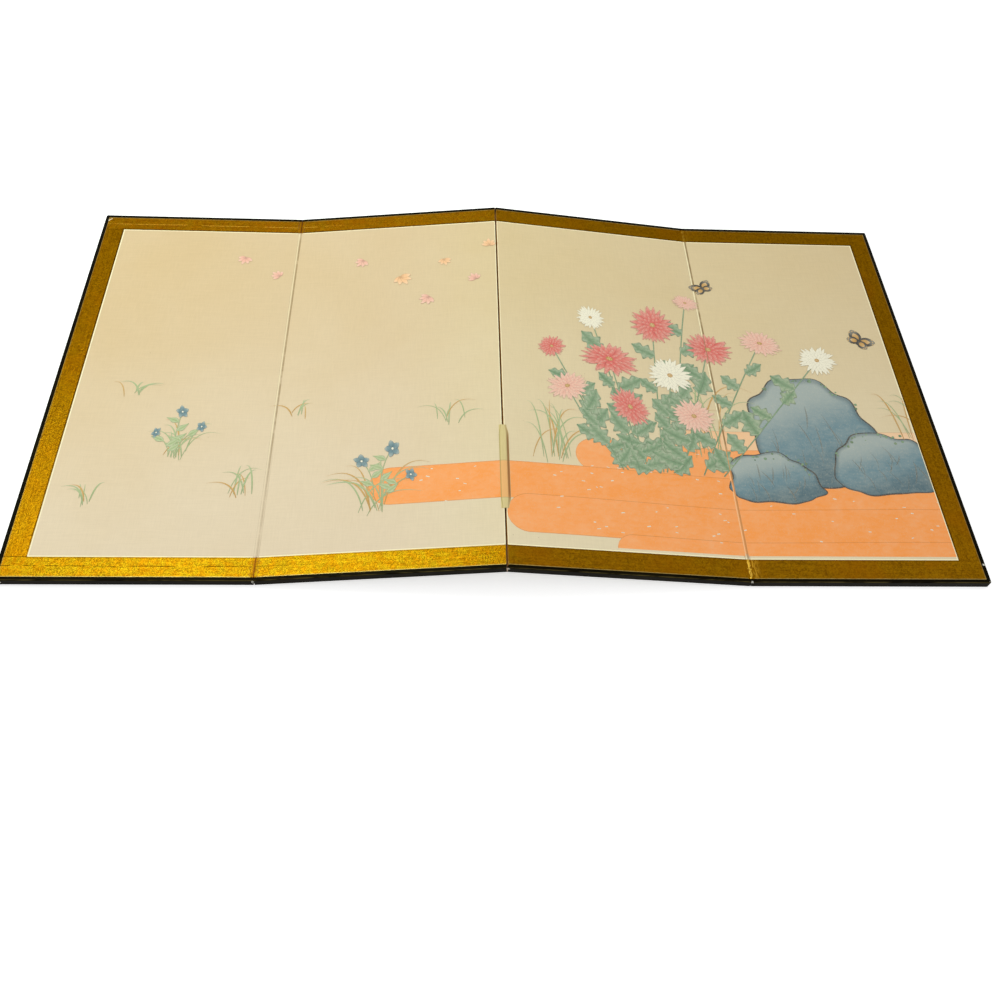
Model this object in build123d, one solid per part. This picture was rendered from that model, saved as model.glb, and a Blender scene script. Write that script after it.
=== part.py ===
"""A four-panel folding screen (byobu) that lies face up, its middle fold a little raised.

Each panel is built as the real one is.  A half-lapped lattice of thin bars sits in a core frame.
Layered paper closes both faces, hinge papers wrap its folding sides, a silk picture with a gold
border covers the front and a patterned paper the back.  Lacquered rims are held on by hidden
double-pointed nails.

The row's axes: X runs across the screen, Y from the bottom rims to the top rims and Z up through
the panels.  The origin is on the floor, under the middle of the screen.

A panel is first built flat in its own frame: x from its left hinge axis (or free end) to its
right one, y about the middle of its height, z from the back of its rims to their front.
"""
import math
import os

from build123d import *

# Panel, over the lacquered rims
PANEL_WIDTH = 423.0  # from one hinge axis to the next
PANEL_HEIGHT = 914.0
PANEL_DEPTH = 15.0
INNER_PANEL_SLOPE = 6.2  # degrees that the two inner panels lean as the screen lies

# Folds
FOLD_SIDE_CLEARANCE = 0.3  # from a panel's side to the hinge axis beside it
FOLD_FACE_CLEARANCE = 0.3  # from a rim's face to the hinge axis before or behind it
FREE_END_CLEARANCE = 0.5  # how much short of a full width an outer panel stops

# Lacquered rims
RIM_FACE = 7.3
RIM_EDGE_RADIUS = 2.0
RIM_INNER_CHAMFER = 0.4
RIM_CORNER_RADIUS = 4.0  # where two rims meet at a free end, seen from the front
RIM_STANDS_PROUD = 0.8  # above the silk's and the back paper's outer faces

# Papers, silk and border
SILK_THICKNESS = 0.4
BACK_PAPER_THICKNESS = 0.4
UNDERLAY_THICKNESS = 0.8
BORDER_WIDTH = 38.5
BORDER_OVER_SILK = 0.1  # the brocade is this much thicker than the silk

# Core frame and lattice
CORE_FRAME_WIDTH = 18.0
BAR_WIDTH = 12.0
TALL_BARS = 3
WIDE_BARS = 8
TENON_LENGTH = 5.0
TENON_THICKNESS = 3.0
FRAME_TENON_LENGTH = 9.0
FRAME_TENON_WIDTH = 10.0

# Hinge papers
HINGE_PAPER_THICKNESS = 0.4
HINGE_LIP_WIDTH = 18.0
SURFACE_LIP_WIDTH = 5.0  # the one lip that lies over the silk
END_STRIP_LENGTH = 112.0
NEXT_STRIP_LENGTH = 185.0
STRIP_SLIT = 1.0

# Hidden nails between the rims and the core
NAIL_SIZE = 2.0
NAIL_IN_RIM = 4.5
WOOD_PAST_NAIL = 1.5  # left between a nail's point and the tenons behind it
NAIL_POINT = 3.0
NAILS_PER_RAIL = 3
NAILS_PER_STILE = 5
NAIL_END_MARGIN = 60.0

# Levels through the panel, from the back of the rims
BACK_PAPER_FACE = RIM_STANDS_PROUD
BACK_UNDERLAY_FACE = BACK_PAPER_FACE + BACK_PAPER_THICKNESS
CORE_BACK = BACK_UNDERLAY_FACE + UNDERLAY_THICKNESS
SILK_FACE = PANEL_DEPTH - RIM_STANDS_PROUD
FRONT_UNDERLAY_FACE = SILK_FACE - SILK_THICKNESS
CORE_FRONT = FRONT_UNDERLAY_FACE - UNDERLAY_THICKNESS
CORE_MIDDLE = (CORE_BACK + CORE_FRONT) / 2

NAIL_IN_CORE = CORE_FRAME_WIDTH - TENON_LENGTH - WOOD_PAST_NAIL

# Levels up the panel
TOP = PANEL_HEIGHT / 2
CORE_TOP = TOP - RIM_FACE
INNER_TOP = CORE_TOP - CORE_FRAME_WIDTH

FRONT = "front"
BACK = "back"


def block(x, y, z):
    """A box between two limits along each axis, each limit given as (low, high)."""
    size = [max(limits) - min(limits) for limits in (x, y, z)]
    middle = [(limits[0] + limits[1]) / 2 for limits in (x, y, z)]
    return Pos(*middle) * Box(*size)


def evenly(count, low, high):
    """The middles of `count` bars that part the stretch from low to high into equal bays."""
    return [low + (high - low) * (i + 1) / (count + 1) for i in range(count)]


def spread(count, low, high):
    """`count` places from low to high, both ends among them."""
    return [low + (high - low) * i / (count - 1) for i in range(count)]


def about(middle, width):
    """The two limits of a width laid evenly about its middle."""
    return (middle - width / 2, middle + width / 2)


class Panel:
    """The limits of one panel and what stands on each of its two long sides."""

    def __init__(self, number, left_axis, right_axis):
        """An axis is FRONT or BACK for a fold hinged at that face, or None for a free end."""
        self.number = number
        self.left_axis = left_axis
        self.right_axis = right_axis
        self.left = FOLD_SIDE_CLEARANCE if left_axis else FREE_END_CLEARANCE
        self.right = PANEL_WIDTH - (FOLD_SIDE_CLEARANCE if right_axis else FREE_END_CLEARANCE)
        self.core_left = self.left + (HINGE_PAPER_THICKNESS if left_axis else RIM_FACE)
        self.core_right = self.right - (HINGE_PAPER_THICKNESS if right_axis else RIM_FACE)
        self.cover_left = self.left if left_axis else self.core_left
        self.cover_right = self.right if right_axis else self.core_right
        self.inner_left = self.core_left + CORE_FRAME_WIDTH
        self.inner_right = self.core_right - CORE_FRAME_WIDTH
        self.tall_bar_middles = evenly(TALL_BARS, self.inner_left, self.inner_right)
        self.wide_bar_middles = evenly(WIDE_BARS, -INNER_TOP, INNER_TOP)

    def name(self, piece):
        return f"panel_{self.number}_{piece}"


# ---------------------------------------------------------------- core frame and lattice


def tenon_limits():
    return about(CORE_MIDDLE, TENON_THICKNESS)


def tall_bars(panel):
    """Upright bars, notched at the front half, with a stub tenon into each core rail."""
    bars = []
    for x in panel.tall_bar_middles:
        width = about(x, BAR_WIDTH)
        bar = block(width, (-INNER_TOP, INNER_TOP), (CORE_BACK, CORE_FRONT))
        for y in panel.wide_bar_middles:
            bar -= block(width, about(y, BAR_WIDTH), (CORE_MIDDLE, CORE_FRONT))
        reach = INNER_TOP + TENON_LENGTH
        bar += block(width, (-reach, reach), tenon_limits()) - block(
            width, (-INNER_TOP, INNER_TOP), (CORE_BACK, CORE_FRONT)
        )
        bars.append(bar)
    return bars


def wide_bars(panel):
    """Cross bars, notched at the back half, with a stub tenon into each core stile."""
    bars = []
    inside = (panel.inner_left, panel.inner_right)
    reach = (panel.inner_left - TENON_LENGTH, panel.inner_right + TENON_LENGTH)
    for y in panel.wide_bar_middles:
        height = about(y, BAR_WIDTH)
        bar = block(inside, height, (CORE_BACK, CORE_FRONT))
        for x in panel.tall_bar_middles:
            bar -= block(about(x, BAR_WIDTH), height, (CORE_BACK, CORE_MIDDLE))
        bar += block(reach, height, tenon_limits()) - block(inside, height, (CORE_BACK, CORE_FRONT))
        bars.append(bar)
    return bars


def frame_tenon(panel, level):
    """The tenon line of one core rail through both stiles, `level` the rail's middle."""
    reach = (panel.inner_left - FRAME_TENON_LENGTH, panel.inner_right + FRAME_TENON_LENGTH)
    return block(reach, about(level, FRAME_TENON_WIDTH), tenon_limits())


def rail_levels():
    middle = CORE_TOP - CORE_FRAME_WIDTH / 2
    return (-middle, middle)


def core_rails(panel):
    """The core frame's two cross rails, tenoned into the stiles and mortised for the tall bars."""
    rails = []
    inside = (panel.inner_left, panel.inner_right)
    for level in rail_levels():
        rail = block(inside, about(level, CORE_FRAME_WIDTH), (CORE_BACK, CORE_FRONT))
        rail += frame_tenon(panel, level)
        for x in panel.tall_bar_middles:
            reach = INNER_TOP + TENON_LENGTH
            rail -= block(about(x, BAR_WIDTH), (-reach, reach), tenon_limits())
        rails.append(rail)
    return rails


def core_stiles(panel):
    """The core frame's two uprights, mortised for both rails and every cross bar."""
    stiles = []
    reach = (panel.inner_left - TENON_LENGTH, panel.inner_right + TENON_LENGTH)
    for side in ((panel.core_left, panel.inner_left), (panel.inner_right, panel.core_right)):
        stile = block(side, (-CORE_TOP, CORE_TOP), (CORE_BACK, CORE_FRONT))
        for level in rail_levels():
            stile -= frame_tenon(panel, level)
        for y in panel.wide_bar_middles:
            stile -= block(reach, about(y, BAR_WIDTH), tenon_limits())
        stiles.append(stile)
    return stiles


# ---------------------------------------------------------------- hinge papers


def strip_limits():
    """The five hinge strips of a fold, bottom to top, each parted from the next by a slit."""
    ends = [-CORE_TOP]
    for length in (END_STRIP_LENGTH, NEXT_STRIP_LENGTH):
        ends.append(ends[-1] + length)
    ends += [-end for end in reversed(ends)]
    return [(low + STRIP_SLIT / 2, high - STRIP_SLIT / 2) for low, high in zip(ends, ends[1:])]


def hinge_leaf(side, core_side, axis, first_lip, surface_strip=None):
    """The part of one fold's hinge papers that is pasted to this panel.

    The strips are pasted in turn to the panel's front and back, first_lip naming the face of the
    lowest.  A strip pasted to the face away from the hinge axis also lies down the panel's side.
    surface_strip is the number of a strip whose lip lies over the silk, or None.
    """
    inward = 1 if core_side > side else -1
    faces = [first_lip, BACK if first_lip == FRONT else FRONT]
    strips = []
    for number, limits in enumerate(strip_limits()):
        face = faces[number % 2]
        base = CORE_FRONT if face == FRONT else CORE_BACK
        outward = 1 if face == FRONT else -1
        lip_width = HINGE_LIP_WIDTH
        if number == surface_strip:
            base = SILK_FACE
            lip_width = SURFACE_LIP_WIDTH
        lip_face = base + outward * HINGE_PAPER_THICKNESS
        lip_start = core_side if face == axis else side
        strip = block((lip_start, core_side + inward * lip_width), limits, (base, lip_face))
        if face != axis:
            far = CORE_BACK if face == FRONT else CORE_FRONT
            strip += block((side, core_side), limits, (far, lip_face))
        strips.append(strip)
    return strips


def hinge_leaves(panel):
    """Each fold's leaf on this panel, by the fold's side."""
    leaves = {}
    if panel.left_axis:
        leaves["left"] = hinge_leaf(panel.left, panel.core_left, panel.left_axis, FRONT)
    if panel.right_axis:
        surface_strip = 1 if panel.right_axis == BACK else None
        leaves["right"] = hinge_leaf(
            panel.right, panel.core_right, panel.right_axis, BACK, surface_strip
        )
    return leaves


# ---------------------------------------------------------------- papers, silk and border


def cut_for(solid, cutters):
    """The solid with room made in it for each cutter that reaches into it."""
    for cutter in cutters:
        solid -= cutter
    return solid


def underlays(panel, strips):
    """The layered papers pasted over both faces of the core, rebated for the hinge papers."""
    width = (panel.cover_left, panel.cover_right)
    height = (-CORE_TOP, CORE_TOP)
    front = block(width, height, (CORE_FRONT, FRONT_UNDERLAY_FACE))
    back = block(width, height, (BACK_UNDERLAY_FACE, CORE_BACK))
    return cut_for(front, strips), cut_for(back, strips)


def back_paper(panel):
    """The patterned paper over the whole back between the rims."""
    width = (panel.cover_left, panel.cover_right)
    return block(width, (-CORE_TOP, CORE_TOP), (BACK_PAPER_FACE, BACK_UNDERLAY_FACE))


def picture_limits(panel):
    """Where the silk shows: inside the border, and right up to each fold."""
    left = panel.cover_left + (0 if panel.left_axis else BORDER_WIDTH)
    right = panel.cover_right - (0 if panel.right_axis else BORDER_WIDTH)
    top = CORE_TOP - BORDER_WIDTH
    return (left, right), (-top, top)


def picture_silk(panel, strips):
    width, height = picture_limits(panel)
    return cut_for(block(width, height, (FRONT_UNDERLAY_FACE, SILK_FACE)), strips)


def gold_border(panel):
    """Brocade strips along the rims: bottom and top right across, the upright one between them."""
    width, height = picture_limits(panel)
    whole = (panel.cover_left, panel.cover_right)
    depth = (FRONT_UNDERLAY_FACE, SILK_FACE + BORDER_OVER_SILK)
    strips = [
        block(whole, (-CORE_TOP, height[0]), depth),
        block(whole, (height[1], CORE_TOP), depth),
    ]
    if not panel.left_axis:
        strips.append(block((panel.cover_left, width[0]), height, depth))
    if not panel.right_axis:
        strips.append(block((width[1], panel.cover_right), height, depth))
    return strips


# ---------------------------------------------------------------- lacquered rims and nails


def rim_bar(length):
    """A straight rim along X about the origin, its inner side at y = 0 and its outer at RIM_FACE.

    Both outer corners are well rounded; the inner ones are only eased.
    """
    bar = block(about(0, length), (0, RIM_FACE), (0, PANEL_DEPTH))
    along = bar.edges().filter_by(Axis.X).group_by(Axis.Y)
    bar = fillet(along[-1], RIM_EDGE_RADIUS)
    inner = bar.edges().filter_by(Axis.X).group_by(Axis.Y)[0]
    return chamfer(inner, RIM_INNER_CHAMFER)


def mitre_cutter(x, y, direction):
    """A block with one side on the mitre line through (x, y), standing off it towards `direction`."""
    reach = 2 * RIM_FACE
    return Pos(x, y) * Rot(0, 0, direction) * block((0, reach), (-reach, reach), (0, PANEL_DEPTH))


def corner_cutter(x, y):
    """What is cut off the outer corner at (x, y) to leave it round, its edges rounded as the rims'."""
    across = math.copysign(RIM_CORNER_RADIUS, PANEL_WIDTH / 2 - x)
    up = -math.copysign(RIM_CORNER_RADIUS, y)
    post = Cylinder(RIM_CORNER_RADIUS, PANEL_DEPTH)
    post = fillet(post.edges().filter_by(GeomType.CIRCLE), RIM_EDGE_RADIUS)
    square = block((x, x + across), (y, y + up), (0, PANEL_DEPTH))
    return square - Pos(x + across, y + up, PANEL_DEPTH / 2) * post


def top_rail(panel):
    """The top rim of one panel, mitred at a free end and square at a fold."""
    middle = (panel.left + panel.right) / 2
    rail = Pos(middle, CORE_TOP) * rim_bar(panel.right - panel.left)
    if not panel.left_axis:
        rail -= mitre_cutter(panel.core_left, CORE_TOP, -135)
        rail -= corner_cutter(panel.left, TOP)
    if not panel.right_axis:
        rail -= mitre_cutter(panel.core_right, CORE_TOP, -45)
        rail -= corner_cutter(panel.right, TOP)
    return rail


def bottom_rail(panel):
    return mirror(top_rail(panel), Plane.XZ)


def end_stile(panel):
    """The upright rim at a free end: a full-height bar with a mitre at each end."""
    inner, outward = (panel.core_left, -1) if not panel.left_axis else (panel.core_right, 1)
    stile = Pos(inner, 0) * Rot(0, 0, -90 * outward) * rim_bar(PANEL_HEIGHT)
    for up in (-1, 1):
        stile -= mitre_cutter(inner, up * CORE_TOP, up * (90 + 45 * outward))
        stile -= corner_cutter(inner + outward * RIM_FACE, up * TOP)
    return stile


def double_pointed_nail():
    """A square nail along Y, its shoulder line at y = 0: points up in the rim, down in the core."""
    half = NAIL_SIZE / 2
    outline = Polyline(
        (0, NAIL_IN_RIM),
        (half, NAIL_IN_RIM - NAIL_POINT),
        (half, NAIL_POINT - NAIL_IN_CORE),
        (0, -NAIL_IN_CORE),
        (-half, NAIL_POINT - NAIL_IN_CORE),
        (-half, NAIL_IN_RIM - NAIL_POINT),
        close=True,
    )
    return Pos(0, 0, CORE_MIDDLE) * extrude(make_face(outline), half, both=True)


def rim_nails(panel):
    """The hidden nails that hold the rims of one panel to its core frame."""
    nail = double_pointed_nail()
    inside = (panel.core_left + NAIL_END_MARGIN, panel.core_right - NAIL_END_MARGIN)
    across = spread(NAILS_PER_RAIL, *inside)
    nails = [Pos(x, CORE_TOP) * nail for x in across]
    nails += [Pos(x, -CORE_TOP) * Rot(0, 0, 180) * nail for x in across]
    up = spread(NAILS_PER_STILE, NAIL_END_MARGIN - CORE_TOP, CORE_TOP - NAIL_END_MARGIN)
    if not panel.left_axis:
        nails += [Pos(panel.core_left, y) * Rot(0, 0, 90) * nail for y in up]
    if not panel.right_axis:
        nails += [Pos(panel.core_right, y) * Rot(0, 0, -90) * nail for y in up]
    return nails


# ---------------------------------------------------------------- whole panel and screen


def build_panel(panel):
    """Every piece of one panel, flat in the panel's own frame, by node name."""
    nails = rim_nails(panel)
    leaves = hinge_leaves(panel)
    strips = [strip for leaf in leaves.values() for strip in leaf]
    front_underlay, back_underlay = underlays(panel, strips)
    pieces = {
        "core_stiles": [cut_for(stile, nails) for stile in core_stiles(panel)],
        "core_rails": [cut_for(rail, nails) for rail in core_rails(panel)],
        "tall_bars": tall_bars(panel),
        "wide_bars": wide_bars(panel),
        "front_underlay": [front_underlay],
        "back_underlay": [back_underlay],
        "picture_silk": [picture_silk(panel, strips)],
        "gold_border": gold_border(panel),
        "back_paper": [back_paper(panel)],
        "top_rail": [cut_for(top_rail(panel), nails)],
        "bottom_rail": [cut_for(bottom_rail(panel), nails)],
        "rim_nails": nails,
    }
    if not (panel.left_axis and panel.right_axis):
        pieces["end_stile"] = [cut_for(end_stile(panel), nails)]
    for side, leaf in leaves.items():
        pieces[f"{side}_hinge_papers"] = leaf
    return {panel.name(piece): solids for piece, solids in pieces.items()}


SLOPE = math.radians(INNER_PANEL_SLOPE)
FRONT_AXIS_LEVEL = PANEL_DEPTH + FOLD_FACE_CLEARANCE
AXIS_TO_AXIS_DEPTH = PANEL_DEPTH + 2 * FOLD_FACE_CLEARANCE
OUTER_AXIS_X = PANEL_WIDTH * math.cos(SLOPE) + AXIS_TO_AXIS_DEPTH * math.sin(SLOPE)
MIDDLE_AXIS_Z = (
    FRONT_AXIS_LEVEL + PANEL_WIDTH * math.sin(SLOPE) - AXIS_TO_AXIS_DEPTH * math.cos(SLOPE)
)


def turned_about(axis_x, local_x, degrees):
    """Moves a panel so that its front axis at local_x lies at axis_x, then turns it about that."""
    onto_axis = Pos(axis_x, 0, FRONT_AXIS_LEVEL)
    return onto_axis * Rot(0, degrees, 0) * Pos(-local_x, 0, -FRONT_AXIS_LEVEL)


PANELS = (
    (Panel(1, None, FRONT), turned_about(-OUTER_AXIS_X, PANEL_WIDTH, 0)),
    (Panel(2, FRONT, BACK), turned_about(-OUTER_AXIS_X, 0, -INNER_PANEL_SLOPE)),
    (Panel(3, BACK, FRONT), turned_about(OUTER_AXIS_X, PANEL_WIDTH, INNER_PANEL_SLOPE)),
    (Panel(4, FRONT, None), turned_about(OUTER_AXIS_X, 0, 0)),
)


def main():
    os.makedirs("parts", exist_ok=True)
    for panel, place in PANELS:
        for node, solids in build_panel(panel).items():
            placed = [place * solid for solid in solids]
            shape = placed[0] if len(placed) == 1 else Compound(children=placed)
            export_step(shape, f"parts/{node}.step")
    print(f"outer hinge axes: x = -/+{OUTER_AXIS_X:.4f}, z = {FRONT_AXIS_LEVEL:.4f}")
    print(f"middle hinge axis: x = 0, z = {MIDDLE_AXIS_Z:.4f}")


main()
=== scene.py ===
import math
from functools import cached_property, partialmethod

import bmesh
import bpy
import numpy as np
from bpy.props import FloatProperty, FloatVectorProperty, IntProperty, PointerProperty
from bpy.types import Operator, Panel, PropertyGroup
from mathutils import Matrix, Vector


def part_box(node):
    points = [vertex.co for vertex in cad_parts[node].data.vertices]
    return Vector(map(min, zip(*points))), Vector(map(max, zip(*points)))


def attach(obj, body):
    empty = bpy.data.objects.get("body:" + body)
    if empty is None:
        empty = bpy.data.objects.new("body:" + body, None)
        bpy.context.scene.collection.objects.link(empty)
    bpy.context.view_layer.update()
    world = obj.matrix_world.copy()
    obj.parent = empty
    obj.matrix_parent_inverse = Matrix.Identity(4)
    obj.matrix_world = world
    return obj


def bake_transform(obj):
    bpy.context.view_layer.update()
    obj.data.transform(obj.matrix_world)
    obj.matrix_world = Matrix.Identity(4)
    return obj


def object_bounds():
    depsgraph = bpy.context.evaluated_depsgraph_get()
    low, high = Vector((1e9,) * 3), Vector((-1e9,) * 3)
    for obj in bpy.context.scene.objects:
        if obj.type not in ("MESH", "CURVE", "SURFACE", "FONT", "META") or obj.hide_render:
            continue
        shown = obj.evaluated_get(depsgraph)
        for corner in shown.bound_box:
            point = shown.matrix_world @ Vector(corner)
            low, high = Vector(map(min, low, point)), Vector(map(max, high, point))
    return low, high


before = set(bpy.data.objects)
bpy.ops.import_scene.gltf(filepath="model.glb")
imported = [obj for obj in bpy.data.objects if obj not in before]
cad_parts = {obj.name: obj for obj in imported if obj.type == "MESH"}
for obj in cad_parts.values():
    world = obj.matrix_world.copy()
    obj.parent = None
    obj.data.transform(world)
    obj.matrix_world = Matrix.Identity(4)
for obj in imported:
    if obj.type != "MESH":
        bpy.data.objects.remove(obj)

bl_info = {
    "name": "Folding Screen",
    "version": (1, 0, 0),
    "blender": (4, 5, 0),
    "location": "View3D > Sidebar > Screen",
    "description": "Finishes a four-panel folding screen: lacquer, brocade, silk and a painted garden",
    "category": "Object",
}

MM = 0.001
CAD_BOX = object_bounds()
PANELS = (1, 2, 3, 4)


def srgb(red, green, blue):
    """A colour given as 0 to 255, turned to the linear values that a shader takes."""
    share = np.array((red, green, blue)) / 255
    return tuple(np.where(share > 0.04045, ((share + 0.055) / 1.055) ** 2.4, share / 12.92))


def node_name(panel, piece):
    return f"panel_{panel}_{piece}"


# ------------------------------------------------------------------ settings


def colour_property(name, description, *levels):
    return FloatVectorProperty(
        name=name, description=description, subtype="COLOR", size=3, min=0, max=1, default=srgb(*levels)
    )


def length_property(name, description, metres):
    return FloatProperty(name=name, description=description, default=metres, unit="LENGTH", min=0)


class LacquerSettings(PropertyGroup):
    body: colour_property("Lacquer", "Colour of the black rims", 8, 5, 1)
    worn: colour_property("Worn lacquer", "Colour where the lacquer is rubbed thin", 48, 40, 16)
    chip_and_glint: colour_property("Chip", "Colour of the bare ground in a chip", 214, 210, 200)


class BorderSettings(PropertyGroup):
    bright: colour_property("Gold", "Colour of the gold threads", 142, 101, 6)
    deep: colour_property("Deep gold", "Colour between the threads", 100, 66, 2)
    smear_and_painted_light: colour_property("Smear", "Colour of the stains over the folds", 92, 50, 2)
    crinkle: length_property("Crinkle", "Size of one crinkle of the brocade", 6 * MM)
    pale_line: length_property("Pale line", "Width of the pale line along the rims", 1.5 * MM)


class SilkSettings(PropertyGroup):
    ground: colour_property("Silk", "Colour of the undyed silk", 229, 212, 181)
    stain: colour_property("Stain", "Colour of the silk's old stains", 216, 191, 146)
    edge: colour_property("Pale edge", "Colour of the silk's turned edges", 255, 242, 204)
    crease: colour_property("Crease", "Colour of the soiled lines along a fold", 116, 84, 26)
    thread: length_property("Thread", "Distance from one slub thread to the next", 1.6 * MM)
    edge_width: length_property("Edge width", "Width of the pale turned edge", 2.7 * MM)


class PaperSettings(PropertyGroup):
    back: colour_property("Back paper", "Ground of the back covering paper", 150, 140, 112)
    stencil: colour_property("Stencil", "Print on the back covering paper", 112, 108, 88)
    hinge: colour_property("Hinge paper", "Colour of the hinge papers", 222, 172, 90)
    lip: colour_property("Hinge lip", "Colour of the hinge paper that lies on the silk", 217, 197, 142)
    underlay: colour_property("Underlay", "Colour of the layered papers", 196, 178, 140)
    wood: colour_property("Core wood", "Colour of the core's softwood", 196, 160, 110)
    repeat: length_property("Repeat", "Size of one repeat of the stencilled pattern", 26 * MM)


class PigmentSettings(PropertyGroup):
    orange: colour_property("Orange", "Wash of the near haze", 252, 156, 76)
    peach: colour_property("Peach", "Wash of the far haze", 244, 190, 142)
    coral: colour_property("Coral", "Chrysanthemums", 220, 98, 92)
    rose: colour_property("Rose", "Pale chrysanthemums", 238, 180, 162)
    shell: colour_property("Shell white", "White chrysanthemums", 246, 238, 218)
    ochre: colour_property("Ochre", "Grass plumes and flower hearts", 204, 156, 84)
    slate: colour_property("Slate", "Rocks and bellflowers", 104, 134, 146)
    sage: colour_property("Sage", "Grasses", 166, 182, 134)
    leaf: colour_property("Leaf", "Chrysanthemum leaves", 120, 150, 116)
    ink: colour_property("Ink", "Dark accents", 52, 50, 50)
    seed: IntProperty(name="Seed", description="Start of the brush's small chances", default=11)


class StageSettings(PropertyGroup):
    focal_length: FloatProperty(
        name="Focal length", description="Camera lens, in millimetres", default=34.486
    )
    camera_place: FloatVectorProperty(
        name="Camera", description="Where the camera stands", subtype="TRANSLATION",
        default=(-0.10086, -1.25891, 1.41915),
    )
    camera_turn: FloatVectorProperty(
        name="Camera turn", description="How the camera is turned", subtype="EULER",
        default=(0.60448, -0.04991, -0.02534),
    )


class ScreenSettings(PropertyGroup):
    lacquer: PointerProperty(type=LacquerSettings)
    border: PointerProperty(type=BorderSettings)
    silk: PointerProperty(type=SilkSettings)
    papers: PointerProperty(type=PaperSettings)
    pigments: PointerProperty(type=PigmentSettings)
    stage: PointerProperty(type=StageSettings)


# ------------------------------------------------------------------ shader writing


class Value:
    """A number socket of a shader, so that sums on it read as Python."""

    def __init__(self, finish, socket):
        self.finish = finish
        self.socket = socket

    def math(self, operation, *others):
        return self.finish.add("ShaderNodeMath", {"operation": operation}, dict(enumerate((self, *others))))

    __add__ = __radd__ = partialmethod(math, "ADD")
    __sub__ = partialmethod(math, "SUBTRACT")
    __mul__ = partialmethod(math, "MULTIPLY")
    __truediv__ = partialmethod(math, "DIVIDE")
    __pow__ = partialmethod(math, "POWER")
    __neg__ = partialmethod(math, "MULTIPLY", -1.0)
    __abs__ = partialmethod(math, "ABSOLUTE")
    least = partialmethod(math, "MINIMUM")
    most = partialmethod(math, "MAXIMUM")

    def __rsub__(self, other):
        return self.finish.add("ShaderNodeMath", {"operation": "SUBTRACT"}, {0: other, 1: self})

    def step(self, low, high):
        """0 below low, 1 above high and smooth between; low may be the larger."""
        settings = {"interpolation_type": "SMOOTHSTEP"}
        limits = {"Value": self, "From Min": low, "From Max": high}
        return self.finish.add("ShaderNodeMapRange", settings, limits)


class Finish:
    """A new material, or a world in its place, whose nodes end in one shader."""

    def __init__(self, name, family="materials", surface="Principled BSDF"):
        self.material = getattr(bpy.data, family).new(name)
        self.material.use_nodes = True
        self.nodes = self.material.node_tree.nodes
        self.links = self.material.node_tree.links
        self.surface = self.nodes[surface]

    def add(self, kind, settings=None, values=None, output=0):
        """Adds a node: its settings first, then the values or links of its sockets."""
        node = self.nodes.new(kind)
        for name, setting in (settings or {}).items():
            setattr(node, name, setting)
        for name, value in (values or {}).items():
            self.feed(node.inputs[name], value)
        return Value(self, node.outputs[output])

    def feed(self, socket, value):
        if isinstance(value, Value):
            self.links.new(value.socket, socket)
        elif socket.type == "RGBA" and len(value) == 3:
            socket.default_value = (*value, 1)
        else:
            socket.default_value = value

    @cached_property
    def place(self):
        """The point's place on the object, in metres."""
        return self.add("ShaderNodeTexCoord", output="Object")

    @cached_property
    def axes(self):
        split = self.add("ShaderNodeSeparateXYZ", values={0: self.place}).socket.node
        return [Value(self, output) for output in split.outputs]

    x = property(lambda self: self.axes[0])
    y = property(lambda self: self.axes[1])

    def measure(self, operation, vector):
        """A number from the place and one more vector, such as the distance between them."""
        return self.add("ShaderNodeVectorMath", {"operation": operation}, {0: self.place, 1: vector}, 1)

    def noise(self, scale, stretch=None, detail=3.0, roughness=0.55, distortion=0.0):
        """Noise over the place, whose axes are first scaled by stretch, each by its own."""
        vector = self.place
        if stretch:
            vector = self.add("ShaderNodeVectorMath", {"operation": "MULTIPLY"}, {0: vector, 1: stretch})
        values = {"Vector": vector, "Scale": scale, "Detail": detail, "Roughness": roughness,
                  "Distortion": distortion}
        return self.add("ShaderNodeTexNoise", values=values)

    def blend(self, factor, first, second, kind="MIX"):
        """The first colour where factor is 0, the second where it is 1."""
        settings = {"data_type": "RGBA", "blend_type": kind}
        return self.add("ShaderNodeMix", settings, {0: factor, 6: first, 7: second}, output=2)

    def coats(self, colour, *coats):
        """A colour with others laid over it in turn, each given as its share and its colour."""
        for share, coat in coats:
            colour = self.blend(share, colour, coat)
        return colour

    def attribute(self, name, output="Fac"):
        return self.add("ShaderNodeAttribute", {"attribute_name": name}, output=output)

    def seen(self):
        """1 where the camera looks, straight or in a mirroring surface, and 0 for the light itself."""
        straight = self.add("ShaderNodeLightPath", output="Is Camera Ray")
        return straight.most(self.add("ShaderNodeLightPath", output="Is Glossy Ray"))

    def bump(self, height, distance, strength=1.0):
        """Height is 0 to 1; distance is what 1 stands for, in metres."""
        values = {"Strength": strength, "Distance": distance, "Height": height}
        self.feed(self.surface.inputs["Normal"], self.add("ShaderNodeBump", values=values))

    def set(self, **values):
        """Feeds the shader, a socket's spaces written as underscores."""
        for name, value in values.items():
            self.feed(self.surface.inputs[name.replace("_", " ")], value)
        return self.material


# ------------------------------------------------------------------ where the silk lies


def mesh_points(mesh):
    points = np.empty(len(mesh.vertices) * 3)
    mesh.vertices.foreach_get("co", points)
    return points.reshape(-1, 3)


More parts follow.
